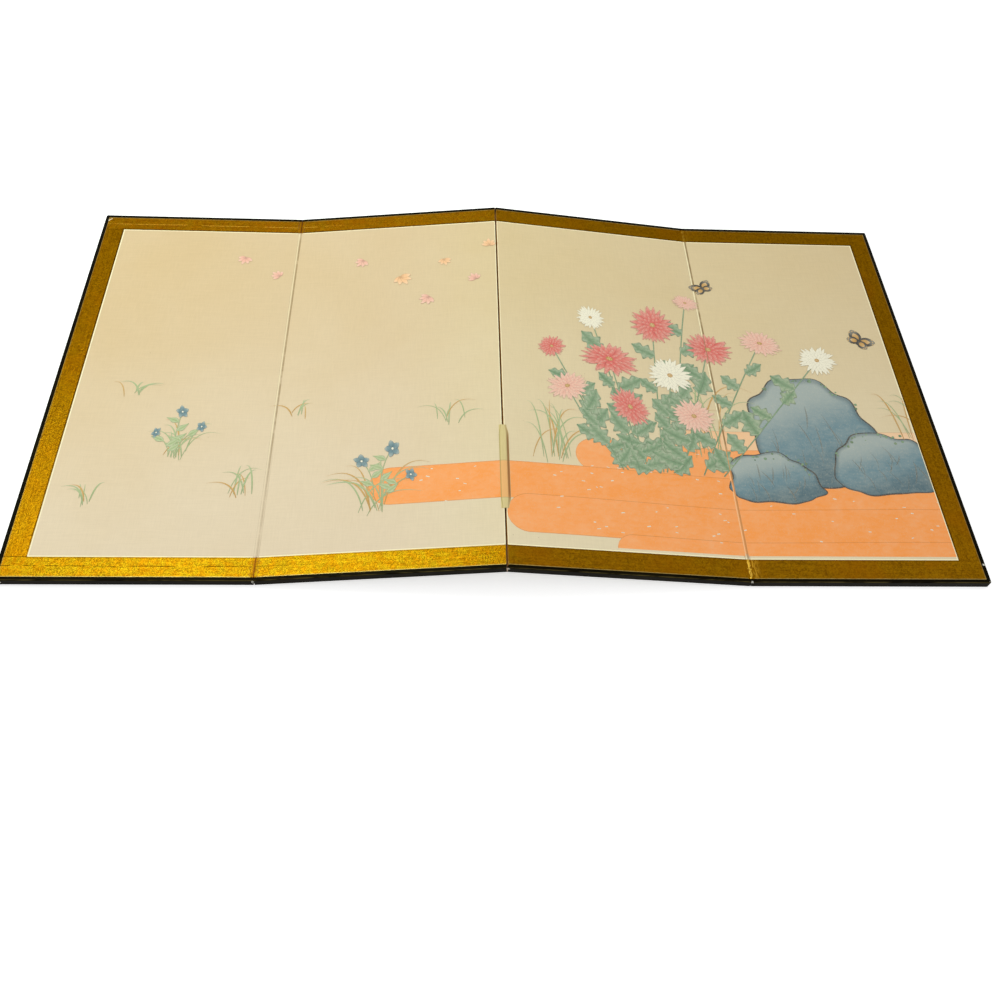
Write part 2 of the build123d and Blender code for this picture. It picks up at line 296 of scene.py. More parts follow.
class SilkPlane:
    """The front face of one panel's silk, and its stretch of the whole picture.

    A point of the picture has s, its distance from the picture's left edge along the silk, and y,
    its height from the middle of the panels, both in metres.
    """

    def __init__(self, panel, start):
        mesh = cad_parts[node_name(panel, "picture_silk")].data
        points = mesh_points(mesh)
        face = max(mesh.polygons, key=lambda polygon: polygon.normal.z * polygon.area)
        self.panel = panel
        self.normal = np.array(face.normal)
        self.along = np.array((self.normal[2], 0.0, -self.normal[0]))
        level = points @ self.normal
        front = points[level > level.max() - 0.2 * MM]
        reach = front @ self.along
        self.left = front[reach.argmin()] * (1, 0, 1)
        self.start = start
        self.end = start + reach.max() - reach.min()
        self.top = front[:, 1].max()

    def to_row(self, s, y, lift):
        """Row coordinates: the left edge, plus s along the silk, y up it and lift off its face."""
        s, y, lift = np.broadcast_arrays(s, y, lift)
        place = self.left + (s - self.start)[..., None] * self.along
        place = place + lift[..., None] * self.normal
        place[..., 1] = y
        return place


def silk_planes():
    planes, start = [], 0.0
    for panel in PANELS:
        planes.append(SilkPlane(panel, start))
        start = planes[-1].end
    return planes


SILK = silk_planes()
PICTURE_WIDTH = SILK[-1].end
PICTURE_TOP = SILK[0].top
PICTURE_SIDE = SILK[-1].left[0] + SILK[-1].end - SILK[-1].start
RIM_INSIDE = (-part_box("panel_1_end_stile")[1].x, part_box("panel_1_top_rail")[0].y)
FOOT = CAD_BOX[0].y

# How near to the border, to its foot strip and to a fold the paint may go
MARGIN_SIDE = 1.5 * MM
MARGIN_FOOT = 7 * MM
MARGIN_FOLD = 0.3 * MM


# ------------------------------------------------------------------ mesh making


def grid_faces(rows, columns, first=0):
    """Quads between neighbouring points of a rows by columns grid, numbered row by row."""
    corner = first + np.arange(rows * columns).reshape(rows, columns)
    quads = np.stack((corner[:-1, :-1], corner[1:, :-1], corner[1:, 1:], corner[:-1, 1:]), -1)
    return quads.reshape(-1, 4)


def mesh_object(name, points, faces, material):
    mesh = bpy.data.meshes.new(name)
    mesh.from_pydata(points.tolist(), [], faces.tolist())
    mesh.polygons.foreach_set("use_smooth", np.ones(len(faces), bool))
    mesh.materials.append(material)
    piece = bpy.data.objects.new(name, mesh)
    bpy.context.scene.collection.objects.link(piece)
    return piece


def set_numbers(mesh, name, values):
    """Gives each point of a mesh its number, for a finish to read."""
    layer = mesh.attributes.new(name, "FLOAT", "POINT")
    layer.data.foreach_set("value", values.ravel().astype(np.float32))


def set_colours(mesh, name, colours):
    """Gives each point of a mesh its colour, for a finish to read."""
    layer = mesh.attributes.new(name, "FLOAT_COLOR", "POINT")
    opaque = np.insert(colours.reshape(-1, 3), 3, 1, axis=1)
    layer.data.foreach_set("color", opaque.ravel().astype(np.float32))


def smooth(value, low, high):
    """0 below low, 1 above high and a smooth cubic between."""
    t = np.clip((np.asarray(value) - low) / (high - low), 0, 1)
    return t * t * (3 - 2 * t)


def hump(s, middle, half_width):
    """A rounded hill of height 1: a squared cosine about its middle."""
    return np.cos(np.clip((s - middle) / half_width, -1, 1) * math.pi / 2) ** 2


def curve(start, bend, end, steps):
    """Points along a quadratic curve from start to end, pulled towards bend."""
    t = np.linspace(0, 1, steps)[:, None]
    start, bend, end = (np.array(point, float) for point in (start, bend, end))
    return (1 - t) ** 2 * start + 2 * t * (1 - t) * bend + t**2 * end


class Canvas:
    """One layer of paint over the whole picture, gathered as flat grids of (s, y).

    Each point carries its pigment, tone (0 dark to 1 light), edge (0 on the shape's outline to 1
    well inside) and cover (how much paint hides the silk).
    """

    LEVEL_STEP = 0.0015 * MM

    def __init__(self, name, lift):
        self.name = name
        self.lift = lift
        self.grids = []
        self.count = 0
        self.shapes = 0

    def add(self, s, y, pigment, tone=0.5, edge=1.0, cover=1.0):
        """Lays a grid of points, wound so that it faces out of the silk."""
        rows, columns = s.shape
        faces = grid_faces(rows, columns, self.count)
        twist = np.gradient(s, axis=0) * np.gradient(y, axis=1)
        twist -= np.gradient(s, axis=1) * np.gradient(y, axis=0)
        if twist.sum() < 0:
            faces = faces[:, ::-1]
        lift = np.full(s.shape, self.lift + self.shapes * self.LEVEL_STEP)
        shares = [np.broadcast_to(np.asarray(value, float), s.shape) for value in (tone, edge, cover)]
        pigments = np.broadcast_to(np.array(pigment, float), (*s.shape, 3))
        columns_of = [part.reshape(-1) for part in (s, y, lift, *shares)]
        self.grids.append((np.column_stack(columns_of + [pigments.reshape(-1, 3)]), faces))
        self.count += s.size
        self.shapes += 1

    def restart(self, level=0):
        """Lets the next shapes lie as low as the first ones did, for a place where none lie yet."""
        self.shapes = level

    def hang(self, material):
        """Cuts the layer at the folds and lays each part on its panel's silk."""
        points = np.concatenate([grid for grid, _ in self.grids])
        faces = np.concatenate([quads for _, quads in self.grids])
        for plane in SILK:
            reach = points[faces, 0]
            inside = (reach.max(1) > plane.start) & (reach.min(1) < plane.end)
            if inside.any():
                self.hang_on(plane, points, faces[inside], material)

    def hang_on(self, plane, points, faces, material):
        used, numbers = np.unique(faces, return_inverse=True)
        points = points[used]
        piece = mesh_object(
            node_name(plane.panel, self.name), points[:, :3], numbers.reshape(-1, 4), material
        )
        mesh = piece.data
        for column, name in ((3, "tone"), (4, "edge"), (5, "cover")):
            set_numbers(mesh, name, points[:, column])
        set_colours(mesh, "pigment", points[:, 6:9])
        self.cut_to(mesh, plane)
        mesh.vertices.foreach_set("co", plane.to_row(*mesh_points(mesh).T).ravel())
        mesh.update()
        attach(piece, f"panel_{plane.panel}")

    def cut_to(self, mesh, plane):
        """Cuts away what lies past the panel's folds or nearer the border than paint may go."""
        left = plane.start + (MARGIN_SIDE if plane.panel == PANELS[0] else MARGIN_FOLD)
        right = plane.end - (MARGIN_SIDE if plane.panel == PANELS[-1] else MARGIN_FOLD)
        sides = (
            ((left, 0, 0), (-1, 0, 0)), ((right, 0, 0), (1, 0, 0)),
            ((0, MARGIN_FOOT - plane.top, 0), (0, -1, 0)), ((0, plane.top - MARGIN_SIDE, 0), (0, 1, 0)),
        )
        form = bmesh.new()
        form.from_mesh(mesh)
        for place, outward in sides:
            parts = form.verts[:] + form.edges[:] + form.faces[:]
            bmesh.ops.bisect_plane(
                form, geom=parts, plane_co=place, plane_no=outward, clear_outer=True
            )
        form.to_mesh(mesh)
        form.free()


# ------------------------------------------------------------------ painted motifs


def lay_ribbon(canvas, path, widths, pigment, tone=0.5, cover=1.0, steps=3):
    """A brush stroke: the path widened to each side, square to its run."""
    run = np.gradient(path, axis=0)
    run /= np.linalg.norm(run, axis=1)[:, None]
    across = np.linspace(-1, 1, steps)
    widths = np.broadcast_to(widths, len(path))
    s = path[:, 0, None] - run[:, 1, None] * widths[:, None] * across
    y = path[:, 1, None] + run[:, 0, None] * widths[:, None] * across
    edge = np.broadcast_to(1 - abs(across), s.shape)
    tones = np.broadcast_to(np.asarray(tone, float).reshape(-1, 1), s.shape)
    covers = np.broadcast_to(np.asarray(cover, float).reshape(-1, 1), s.shape)
    canvas.add(s, y, pigment, tones, edge, covers)


def lay_blade(canvas, root, bend, tip, width, pigment, steps=14):
    """A blade of grass: a curve, widest a third of the way up and drawn out to a point."""
    t = np.linspace(0, 1, steps)
    widths = width * (np.sin(math.pi * (0.12 + 0.86 * t**0.7)) + 0.03)
    lay_ribbon(canvas, curve(root, bend, tip, steps), widths, pigment, tone=0.25 + 0.6 * t)


def turned(along, side, angle):
    """The x and y of what lies along a direction and to its left."""
    turn, rise = math.cos(angle), math.sin(angle)
    return along * turn - side * rise, along * rise + side * turn


def lay_slanted(canvas, centre, x, y, squash, pigment, tone, edge):
    """Lays a grid about a centre, shortened along squash's direction to squash's share."""
    direction, share = squash
    turn, rise = math.cos(direction), math.sin(direction)
    lost = (x * turn + y * rise) * (1 - share)
    canvas.add(centre[0] + x - lost * turn, centre[1] + y - lost * rise, pigment, tone, edge)


def lay_petal(canvas, centre, angle, length, width, pigment, squash=(0.0, 1.0), root=0.12, bend=0.0):
    """A petal: a strip out from the centre, swelling as a sine and rounded at its end.

    squash is (direction, share), for a flower that is seen aslant.
    """
    u = np.linspace(0, 1, 7)[:, None]
    v = np.linspace(-1, 1, 5)[None, :]
    swell = np.sin(math.pi * (0.1 + 0.84 * u)) ** 0.7
    out = length * (root + (1 - root) * u) * (1 - 0.06 * v**2 * u)
    side = width * swell * v + bend * length * u**2
    x, y = turned(out, side, angle)
    edge = np.minimum(1 - abs(v), (1 - u) * 3.0)
    lay_slanted(canvas, centre, x, y, squash, pigment, 0.15 + 0.75 * u, edge)


def lay_disc(canvas, centre, radius, pigment, squash=(0.0, 1.0), tone=0.5):
    """A filled round: rings of points from near the middle to the rim."""
    share = np.linspace(0.002, 1, 4)[:, None]
    angle = np.linspace(0, 2 * math.pi, 15)[None, :]
    x, y = radius * share * np.cos(angle), radius * share * np.sin(angle)
    lay_slanted(canvas, centre, x, y, squash, pigment, tone, 1 - share)


def lay_chrysanthemum(canvas, chance, centre, radius, pigment, heart, squash):
    """Rings of narrow petals, the inner ones shorter, round a small dotted heart.

    Each ring has its count of petals, and their length and width as shares of the radius.
    """
    rings = ((23, 1.0, 0.1), (20, 0.86, 0.095), (16, 0.68, 0.09), (12, 0.5, 0.085), (8, 0.32, 0.075))
    for count, reach, width in rings:
        turn = chance.uniform(0, math.pi)
        for petal in range(count):
            angle = turn + 2 * math.pi * petal / count + chance.uniform(-0.06, 0.06)
            length = radius * reach * chance.uniform(0.9, 1.06)
            bend = chance.uniform(-0.12, 0.12)
            lay_petal(canvas, centre, angle, length, radius * width, pigment, squash, bend=bend)
    lay_disc(canvas, centre, radius * 0.12, heart, squash, tone=0.35)
    for dot in range(7):
        x, y = turned(radius * 0.035 * math.sqrt(dot), 0, 2.4 * dot)
        lay_disc(canvas, (centre[0] + x, centre[1] + y), radius * 0.022, heart, squash, tone=0.95)


def lay_bellflower(canvas, chance, centre, radius, pigment, heart, squash):
    """Five broad pointed petals round a small pale heart."""
    turn = chance.uniform(0, math.pi)
    for petal in range(5):
        angle = turn + 2 * math.pi * petal / 5
        lay_petal(canvas, centre, angle, radius, radius * 0.36, pigment, squash, root=0.02)
    lay_disc(canvas, centre, radius * 0.14, heart, squash, tone=0.9)


def lay_leaf(canvas, root, angle, length, width, pigment, lobes=3, bend=0.15):
    """A leaf: a strip along its curved midrib whose half width swells and dips in lobes."""
    u = np.linspace(0, 1, 22)[:, None]
    v = np.linspace(-1, 1, 7)[None, :]
    swell = np.sin(math.pi * np.clip(0.03 + 0.95 * u, 0, 1)) ** 0.75
    lobe = 1 + 0.3 * np.cos(2 * math.pi * (lobes * u - 0.42)) * abs(v)
    along = length * u - 0.35 * width * abs(v) * swell
    x, y = turned(along, width * swell * lobe * v + bend * length * u * u, angle)
    vein = abs(np.sin(math.pi * (lobes * 1.6 * u - 1.3 * abs(v)))) ** 0.5
    tone = 0.25 + 0.35 * np.minimum(vein, abs(v) * 4) + 0.3 * abs(v)
    canvas.add(root[0] + x, root[1] + y, pigment, tone, np.minimum(1 - abs(v), (1 - u) * 5))


def lay_rock(canvas, chance, centre, size, pigment, ink, moss):
    """A boulder: a wavering outline with an ink contour, brush strokes down it and dots of moss."""
    share = np.linspace(0.002, 1, 12)[:, None]
    angle = np.linspace(0, 2 * math.pi, 97)[None, :]
    waver = 1 + sum(
        chance.uniform(0.05, 0.11) / math.sqrt(order) * np.cos(order * angle + chance.uniform(0, 6.28))
        for order in (2, 3, 5, 7, 11)
    )
    x = size[0] * share * waver * np.sign(np.cos(angle)) * np.abs(np.cos(angle)) ** 0.8
    y = size[1] * share * waver * np.sign(np.sin(angle)) * np.abs(np.sin(angle)) ** 0.85
    y = np.where(y < 0, y * 0.5, y)
    tone = 0.16 + 0.66 * smooth(y / size[1] - 0.3 * x / size[0], -0.5, 0.85)
    canvas.add(centre[0] + x, centre[1] + y, pigment, tone, (1 - share) * 2.5)
    outline = np.stack((centre[0] + x[-1], centre[1] + y[-1]), -1)
    thick = (0.7 + 0.9 * np.abs(np.sin(1.5 * angle[0] + 1))) * MM
    lay_ribbon(canvas, outline, thick, ink, tone=0.6, cover=0.75)
    for _ in range(15):
        start = np.array((chance.uniform(-0.7, 0.7), chance.uniform(0.0, 0.75))) * size
        run = np.array((chance.uniform(-0.16, 0.3), -chance.uniform(0.25, 0.6))) * size
        bend = start + run * 0.5 + (size[0] * chance.uniform(0.02, 0.12), 0)
        path = centre + curve(start, bend, start + run, 12)
        taper = np.sin(np.linspace(0.15, math.pi, 12)) * chance.uniform(0.5, 1.5) * MM
        lay_ribbon(canvas, path, taper, ink, tone=0.9, cover=0.4)
    for _ in range(26):
        below = outline[int(chance.normal(24, 9)) % 96]
        place = below + (chance.normal(0, 4 * MM), chance.normal(-5 * MM, 5 * MM))
        lay_disc(canvas, place, chance.uniform(1.2, 3.2) * MM, moss, tone=chance.uniform(0.1, 0.6))


def lay_haze(canvas, start, end, middle, half, pigment, tones):
    """A level band of haze with round ends, its tone running from tones[0] to tones[1] along it."""
    t = np.linspace(0, 1, int((end - start) / (5 * MM)) + 12)[:, None]
    t = 0.5 - 0.5 * np.cos(math.pi * t)
    s = start + (end - start) * t
    v = np.linspace(-1, 1, 13)[None, :]
    round_off = np.minimum(np.minimum(s - start, end - s) / half, 1)
    reach = half * np.sqrt(np.maximum(1 - (1 - round_off) ** 2, 1e-6))
    y = middle + reach * v + 0.05 * half * np.sin(s * 9)
    edge = np.minimum(reach * (1 - abs(v)), np.minimum(s - start, end - s)) / (7 * MM)
    tone = tones[0] + (tones[1] - tones[0]) * smooth(s, start, start + 0.7)
    canvas.add(np.broadcast_to(s, y.shape), y, pigment, tone, edge)


def lay_butterfly(canvas, centre, size, turn, wing, spot, ink):
    """A swallowtail from above: two wings to each side, each with pale spots along its rim."""
    for side in (-1, 1):
        for lean, length, width in ((0.62, 1.0, 0.36), (-0.35, 0.72, 0.3)):
            angle = turn + (lean if side > 0 else math.pi - lean)
            lay_petal(canvas, centre, angle, size * length, size * width, wing, root=0.02)
            lay_petal(canvas, centre, angle, size * length * 0.72, size * width * 0.55, spot, root=0.2)
            for mark in (-0.4, 0.0, 0.4):
                x, y = turned(size * length * 0.86, 0, angle + mark * 0.55)
                lay_disc(canvas, (centre[0] + x, centre[1] + y), size * 0.045, spot, tone=0.7)
    x, y = turned(0, 0.3 * size, turn)
    head, tail = (centre[0] + x, centre[1] + y), (centre[0] - x, centre[1] - y)
    lay_ribbon(canvas, curve(tail, centre, head, 6), size * 0.05, ink, tone=0.4)


# ------------------------------------------------------------------ finishes


# Chips in the lacquer, and a painted glint at the bottom right corner (the one at 0.8420, -0.4540): place and
# radius
CHIPS_AND_GLINT = (
    ((-0.4226, -0.4565, 0.0115), 2.4 * MM), ((-0.4215, -0.4570, 0.0060), 1.7 * MM),
    ((0.4222, -0.4560, 0.0135), 2.2 * MM), ((0.8412, -0.4205, 0.0150), 2.2 * MM),
    ((0.8420, -0.4540, 0.0140), 1.5 * MM), ((-0.8330, -0.4570, 0.0080), 1.6 * MM),
    ((0.0020, -0.4565, 0.0570), 1.8 * MM),
)

# How gold thread colours what it mirrors aslant
GOLD_EDGE = (0.75, 0.62, 0.42, 1)

# The arc-shaped mark in the brocade's top left corner: its circle, and how far out the arc begins
MARK_CENTRE = (-0.8245, 0.4325, 0.0143)
MARK_RADIUS = 14 * MM
MARK_BEGINS = (0.8295, 0.4370)

# How far from the panels' middle the long creases of the brocade lie
CREASE_HEIGHT = 0.4265

# The arch of hinge paper over the middle fold: its foot and head, and how low its middle lies
ARCH_HEIGHTS = (-0.3370, -0.1534)
ARCH_DROP = -sum(ARCH_HEIGHTS) / 2

# Tints that only one finish lays on
WORN_EDGE_AND_HIGHLIGHT = srgb(76, 66, 34)
ORANGE_GOLD = srgb(138, 84, 3)
RUBBED_AND_HIGHLIT_GOLD = srgb(168, 146, 84)
WRINKLE_HIGHLIGHT_GOLD = srgb(206, 156, 44)
SHADED_GOLD = srgb(56, 32, 2)
CREASE_HIGHLIGHT_GOLD = srgb(206, 160, 70)
CORNER_MARK = srgb(240, 224, 190)
FOLD_LINE = srgb(62, 26, 2)
FOLD_STAIN_AND_SHADE = srgb(124, 70, 4)
FOLD_SHINE = srgb(255, 206, 74)
LIP_FIBRE = srgb(203, 183, 128)
LIP_OLIVE = srgb(150, 134, 70)
LIP_STAIN_AND_SHADOW = srgb(122, 70, 14)
SIDE_PAPER = srgb(226, 180, 98)
BACK_FIBRE = srgb(166, 156, 128)
BACK_STAIN = srgb(128, 116, 88)
STEEL = srgb(120, 116, 112)
RUST = srgb(96, 62, 40)


def shaded(colour, share):
    return tuple(share * part for part in colour)


def lacquer_finish(settings):
    """Black lacquer: soft gloss, cloudy with age, worn by rubbing along the grain and chipped by the folds,
    with a painted glint at one corner and a painted highlight along the near foot edge.
    """
    finish = Finish("black_lacquer")
    rub = finish.noise(1.0, (25, 160, 240), detail=5)
    cloud, ragged = finish.noise(14.0), finish.noise(700.0)
    # The chip colour also paints a glint at the bottom right corner, where the rail meets the stile.
    chip_and_glint = 0.0
    for middle, radius in CHIPS_AND_GLINT:
        apart = finish.measure("DISTANCE", middle) + (ragged - 0.5) * (radius * 2.2)
        chip_and_glint = apart.step(radius, radius * 0.8).most(chip_and_glint)
    # Painted highlight with some wear: a lighter line along the near rim's lower rounded edge.
    edge = finish.y.step(FOOT + 2 * MM, FOOT + 1.3 * MM) * finish.y.step(FOOT, FOOT + 0.4 * MM)
    colour = finish.coats(
        settings.body, (cloud.step(0.4, 0.75) * 0.15, settings.worn),
        (rub.step(0.6, 0.8) * 0.25, settings.worn), (edge * rub.step(0.35, 0.65), WORN_EDGE_AND_HIGHLIGHT),
        (chip_and_glint, settings.chip_and_glint),
    )
    finish.bump(rub * 0.7 + cloud * 0.3 - chip_and_glint * 0.5, 0.05 * MM)
    return finish.set(
        Base_Color=colour, Roughness=0.28 + rub * 0.22, Specular_IOR_Level=0.024,
        Specular_Tint=(1, 0.9, 0.6, 1),
    )


def silk_colour(finish, settings):
    """Undyed silk: yellower towards the top, with painted shade at the far top left and a pinker painted tint
    on the left panels, slub threads both ways, stains and specks.
    """
    x, y, pitch = finish.x, finish.y, settings.thread
    warp = finish.noise(1.0, (1 / pitch, 0.05 / pitch, 1 / pitch))
    weft = finish.noise(1.0, (0.05 / pitch, 1 / pitch, 0.05 / pitch))
    weave = warp * 0.5 + weft * 0.5
    stain = finish.noise(3.2, detail=5, roughness=0.6, distortion=0.4)
    # Old stains yellow the silk towards the top; the extra at the far top left is painted shade.
    age_and_shade = y.step(-0.5, 0.36) * (x.step(-0.35, -0.8) * 0.25 + 0.75) + (stain - 0.5) * 0.7
    ground = finish.blend(age_and_shade.most(0).least(1), settings.ground, settings.stain)
    shade = finish.blend(weave.step(0.32, 0.68), (0.962, 0.958, 0.95), (1.025, 1.025, 1.025))
    ground = finish.blend(1.0, ground, shade, "MULTIPLY")
    # Painted tint against the sheen lamp's green light: the left panels' silk made pinker.
    ground = finish.blend(x.step(0.05, -0.25), ground, (0.98, 0.945, 1.0), "MULTIPLY")
    speck = finish.add("ShaderNodeTexVoronoi", values={"Vector": finish.place, "Scale": 46.0})
    speck = speck.step(0.05, 0.02) * finish.noise(9.0, detail=1).step(0.6, 0.68)
    return finish.blend(speck * 0.4, ground, settings.crease), weave


def silk_finish(settings):
    """The silk on a panel, with a pale turned edge beside the border and the middle fold."""
    finish = Finish("picture_silk")
    colour, weave = silk_colour(finish, settings)
    width = settings.edge_width
    from_border = (PICTURE_TOP - abs(finish.y)).least(PICTURE_SIDE - abs(finish.x))
    from_fold = abs(finish.x) - SILK[2].left[0]
    worn = finish.noise(60.0).step(0.2, 0.5)
    pale = (1 - from_border.least(from_fold * 1.6).step(width * 0.6, width)) * (worn * 0.5 + 0.5)
    finish.bump(weave, 0.12 * MM, 0.6)
    return finish.set(Base_Color=finish.blend(pale, colour, settings.edge), Roughness=0.72 + weave * 0.15)


def silk_fold_finish(settings):
    """The silk's soft roll over a fold: a pale crown that is a painted highlight, and close on its right a
    crease darkened by soil and painted shade.
    """
    finish = Finish("silk_fold")
    colour, weave = silk_colour(finish, settings)
    cover, across = finish.attribute("cover"), finish.attribute("across")
    low, left_fold = finish.y.step(-0.12, -0.3), finish.x.step(0.1, -0.1)
    double = low * left_fold
    # Painted highlight: the pale crown on the roll's left flank, where the light falls.
    pale = abs(across + 0.7).step(0.7, 0.1) * (0.8 - left_fold * 0.4 - double * 0.4) * (1 - cover * 0.65)
    # Dark lines along the crease: soil and painted shade.
    soil_and_shade = finish.noise(1.0, (20, 30, 20)).step(0.2, 0.55)
    right = abs(across - 0.38).step(0.85, 0.15) * (0.85 - low * 0.4) * (1 - left_fold * 0.3)
    left = abs(across + 1.2).step(0.4, 0.15) * 0.15
    second = abs(across - 1.45).step(0.45, 0.1) * double * 0.25
    colour = finish.coats(
        colour, (cover * 0.85, finish.attribute("pigment", "Color")), (pale, settings.edge),
        (right.most(left).most(second) * soil_and_shade, settings.crease),
    )
    finish.bump(weave, 0.12 * MM, 0.6)
    return finish.set(Base_Color=colour, Roughness=0.75)


def brocade_colour(finish, settings):
    """Gold threads, crinkled, with ribs along each strip, pale patches that also paint sheen on the left
    panels, painted shade on the right panels and painted sheen at the top left: their colour, relief and
    crinkle.
    """
    x, y, size = finish.x, finish.y, 1 / settings.crinkle
    crinkle = finish.noise(size, detail=4, roughness=0.6, distortion=1.6)
    level, upright = finish.noise(size, (0.1, 2.4, 0.5)), finish.noise(size, (2.4, 0.1, 0.5))
    end_strip = (abs(x) - PICTURE_SIDE).step(0, MM) * (PICTURE_TOP - abs(y)).step(0, MM)
    ribs = level + (upright - level) * end_strip
    threads = crinkle * 0.45 + ribs * 0.2 + finish.noise(size * 4.0, detail=2) * 0.35
    colour = finish.coats(
        settings.deep, (threads.step(0.38, 0.6), settings.bright),
        (finish.noise(9.0).step(0.42, 0.75) * 0.45, ORANGE_GOLD),
    )
    # Paler, yellower patches of gold that fade out on the right panels, at the top and on the end strips:
    # colour patches that also paint the sheen of the lit left panels.
    patch_and_sheen = finish.noise(70.0, roughness=0.7).step(0.36, 0.62)
    patch_and_sheen = patch_and_sheen * (1 - x.step(-0.05, 0.05) * 0.8) * (1 - y.step(-0.3, 0.3) * 0.4) * (1 - end_strip * 0.75)
    tint = finish.blend(patch_and_sheen, (0.99, 0.92, 0.8), (0.96, 1.15, 1.6))
    colour = finish.blend(1.0, colour, tint, "MULTIPLY")
    # Painted shade: the gold darker on the right panels, which turn away from the lamps, all but the foot
    # strip.
    age_and_shade = x.step(0.0, 0.4) * y.step(-0.42, 0.1) * 0.22
    colour = finish.blend(age_and_shade, colour, (0.01, 0.006, 0.001))
    # Painted sheen: the gold of the top left strips made brighter.
    top_left_sheen = y.step(0.3, 0.42) * x.step(0.1, -0.1) * (1 - end_strip)
    return finish.blend(top_left_sheen, colour, (1.12, 1.03, 1.6), "MULTIPLY"), threads, crinkle


def brocade_finish(settings):
    """Gold brocade on paper: worn by rubbing along the rims, with a painted highlight there, painted
    highlights on the wrinkles past the right fold and along the head creases, painted shade in the foot
    creases and along the silk, a stain with painted shade at the left fold, butted at the corners.
    """
    finish = Finish("gold_brocade")
    x, y = finish.x, finish.y
    colour, threads, crinkle = brocade_colour(finish, settings)
    # A pale line along the rims, strongest near the rails: rubbed gold and a painted highlight where the
    # thread edges turn up against the rim.
    from_rim = (RIM_INSIDE[1] - abs(y)).least(RIM_INSIDE[0] - abs(x))
    ragged = (finish.noise(130.0) - 0.5) * (2 * MM)
    rim = (from_rim + ragged).step(settings.pale_line, settings.pale_line * 0.5)
    ends = (RIM_INSIDE[1] - abs(y)).step(12 * MM, 4 * MM)
    streak = finish.noise(1.0, (260, 70, 100), distortion=1.0)
    ragged_edge = (crinkle + streak - 1.0) * (10 * MM)
    # A dark stain at the left fold that also paints the shade of the gold facing away from the lamps there.
    stain = (abs(x - float(SILK[1].left[0])) + ragged_edge).step(9 * MM, 2 * MM)
    # Painted highlight on the wrinkled brocade past the right fold, strongest at the foot.
    past_fold = x - float(SILK[3].left[0])
    wrinkle_highlight = (past_fold + ragged_edge).step(22 * MM, 4 * MM)
    wrinkle_highlight = wrinkle_highlight * past_fold.step(0, MM) * streak.step(0.4, 0.6)
    from_silk = (abs(y) - PICTURE_TOP).most(abs(x) - PICTURE_SIDE)
    shade = from_silk.step(3.8 * MM, 1.8 * MM) * (0.7 - y.step(-0.35, -0.42) * 0.4)
    butt = abs(abs(y) - PICTURE_TOP).step(0.7 * MM, 0.3 * MM) * (abs(x) - PICTURE_SIDE).step(0, MM)
    butt = butt * (1 - x.step(0.0, 0.1) * 0.8)
    # Long creases near the rims: painted shade at the foot of panel 1, a painted highlight along the head
    # strips.
    wave = finish.noise(1.0, (7, 0, 0)) * (5 * MM)
    crease = abs(abs(y) - CREASE_HEIGHT - wave).step(0.8 * MM, 0.2 * MM) * (-x).step(0.28, 0.4)
    crease = crease * finish.noise(1.0, (30, 5, 5), detail=1).step(0.4, 0.5)
    dark = (butt * 0.7).most(crease * y.step(0, -0.1) * (-x).step(0.44, 0.48) * 0.6).most(shade)
    mark = abs(finish.measure("DISTANCE", MARK_CENTRE) - MARK_RADIUS).step(1.2 * MM, 0.6 * MM)
    mark = mark * (-x - MARK_BEGINS[0]).step(0, MM) * (y - MARK_BEGINS[1]).step(0, MM)
    colour = finish.coats(
        colour, (rim * (0.3 + ends * 0.5), RUBBED_AND_HIGHLIT_GOLD), (stain * 0.8, settings.smear_and_painted_light),
        (wrinkle_highlight * (0.8 - y.step(-0.1, 0.1) * 0.65), WRINKLE_HIGHLIGHT_GOLD), (dark, SHADED_GOLD),
        (crease * y.step(0, 0.1) * 0.5, CREASE_HIGHLIGHT_GOLD), (mark, CORNER_MARK),
    )
    finish.bump(threads - butt * 0.3 - crease * 0.3, 0.8 * MM)
    return finish.set(
        Base_Color=colour, Metallic=1 - (rim * 0.5).most(mark).most(stain * 0.5),
        Roughness=0.17 + crinkle * 0.14, Specular_Tint=GOLD_EDGE,
    )


def brocade_fold_finish(name, settings, stain_and_shine_colour, amount, width, fading):
    """The brocade over a fold: with wrinkles, a dark line and a band that fades towards the head, a stain
    with painted shade at the left fold and a painted highlight at the right one.
    """
    finish = Finish(name)
    colour, threads, crinkle = brocade_colour(finish, settings)
    across = finish.attribute("across")
    fleck = finish.noise(1.0, (300, 130, 200))
    # The band: a stain with painted shade at the left fold, a painted highlight at the right one.
    smear_and_painted_light = (abs(across) + (crinkle - 0.5) * 2.4 + (fleck - 0.5) * 3.2).step(width, width * 0.25) * amount
    smear_and_painted_light = smear_and_painted_light * (1 - finish.y.step(-0.1, 0.1) * fading)
    line = abs(across - 0.15 + (crinkle - 0.5) * 0.9).step(0.42, 0.12) * (1.35 - amount)
    wrinkle = finish.noise(1.0, (350, 90, 100), detail=2, distortion=1.0)
    finish.bump(threads * 0.5 + wrinkle * 0.5, 1.2 * MM)
    return finish.set(
        Base_Color=finish.coats(colour, (smear_and_painted_light, stain_and_shine_colour), (line, FOLD_LINE)),
        Metallic=1 - smear_and_painted_light * 0.15, Roughness=0.26 + crinkle * 0.15, Specular_Tint=GOLD_EDGE,
    )


